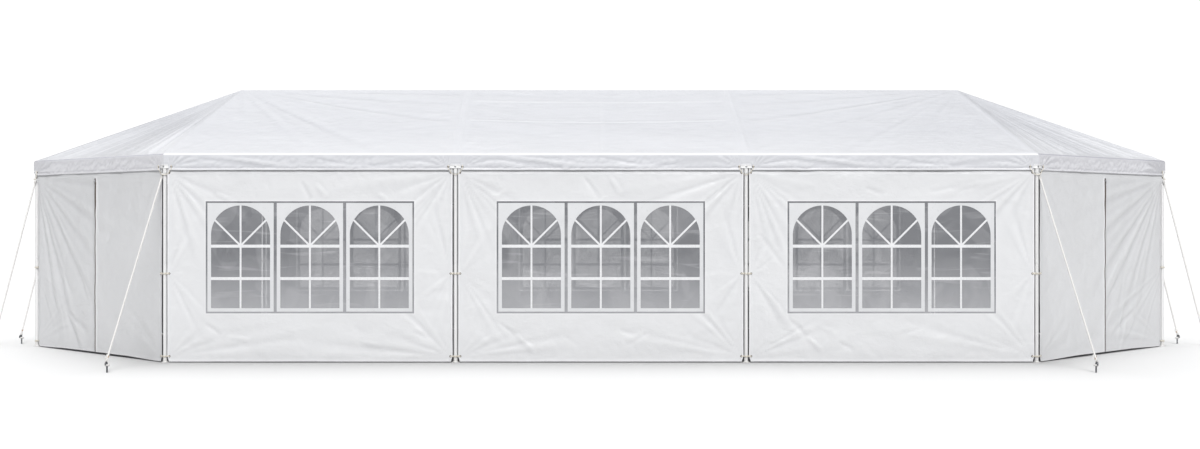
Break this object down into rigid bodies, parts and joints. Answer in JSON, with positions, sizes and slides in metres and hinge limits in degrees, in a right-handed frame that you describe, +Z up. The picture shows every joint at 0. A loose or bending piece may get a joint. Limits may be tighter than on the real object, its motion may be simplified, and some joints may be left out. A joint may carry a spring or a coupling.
{
  "type": "party marquee tent",
  "caption": "White party marquee on a steel tube frame, with a hipped roof and valance, arched clear windows in the long walls, zipped corner walls and staked guy ropes.",
  "frame": {"origin": "the middle of the plan, on the ground under the feet", "axes": "+X along the ridge towards the right-hand end, -Y towards the front, +Z up"},
  "size_m": [13.0214, 6.961, 2.762],
  "materials": {
    "white_fabric": "white woven polyethylene sheet, satin, faintly translucent, with welded hems",
    "clear_window": "clear soft PVC film with white printed glazing bars, seen against a dim inside",
    "white_steel": "white powder-coated thin steel tube",
    "guy_rope": "white twisted polyester rope",
    "stake_steel": "blued round steel bar, slightly dulled"
  },
  "bodies": {
    "root": {"roof_canopy": "white_fabric", "wall_front_left": "white_fabric", "wall_front_middle": "white_fabric", "wall_front_right": "white_fabric", "wall_back_left": "white_fabric", "wall_back_middle": "white_fabric", "wall_back_right": "white_fabric", "wall_corner_left_front": "white_fabric", "wall_corner_left_back": "white_fabric", "wall_corner_right_front": "white_fabric", "wall_corner_right_back": "white_fabric", "wall_end_left": "white_fabric", "wall_end_right": "white_fabric", "window_front_left": "clear_window", "window_front_middle": "clear_window", "window_front_right": "clear_window", "window_back_left": "clear_window", "window_back_middle": "clear_window", "window_back_right": "clear_window", "post_front_1": "white_steel", "post_front_2": "white_steel", "post_front_3": "white_steel", "post_front_4": "white_steel", "post_back_1": "white_steel", "post_back_2": "white_steel", "post_back_3": "white_steel", "post_back_4": "white_steel", "post_tip_left_front": "white_steel", "post_tip_left_back": "white_steel", "post_tip_right_front": "white_steel", "post_tip_right_back": "white_steel", "eave_rail_front": "white_steel", "eave_rail_back": "white_steel", "eave_rail_left": "white_steel", "eave_rail_right": "white_steel", "ridge_pole_left": "white_steel", "ridge_pole_middle": "white_steel", "ridge_pole_right": "white_steel", "rafters_mid_left": "white_steel", "rafters_mid_right": "white_steel", "rafters_end_left": "white_steel", "rafters_end_right": "white_steel", "guy_rope_front_1": "guy_rope", "guy_rope_front_4": "guy_rope", "guy_rope_back_1": "guy_rope", "guy_rope_back_4": "guy_rope", "guy_rope_tip_left_front": "guy_rope", "guy_rope_tip_left_back": "guy_rope", "guy_rope_tip_right_front": "guy_rope", "guy_rope_tip_right_back": "guy_rope", "stake_front_1": "stake_steel", "stake_front_4": "stake_steel", "stake_back_1": "stake_steel", "stake_back_4": "stake_steel", "stake_tip_left_front": "stake_steel", "stake_tip_left_back": "stake_steel", "stake_tip_right_front": "stake_steel", "stake_tip_right_back": "stake_steel"}
  },
  "joints": []
}
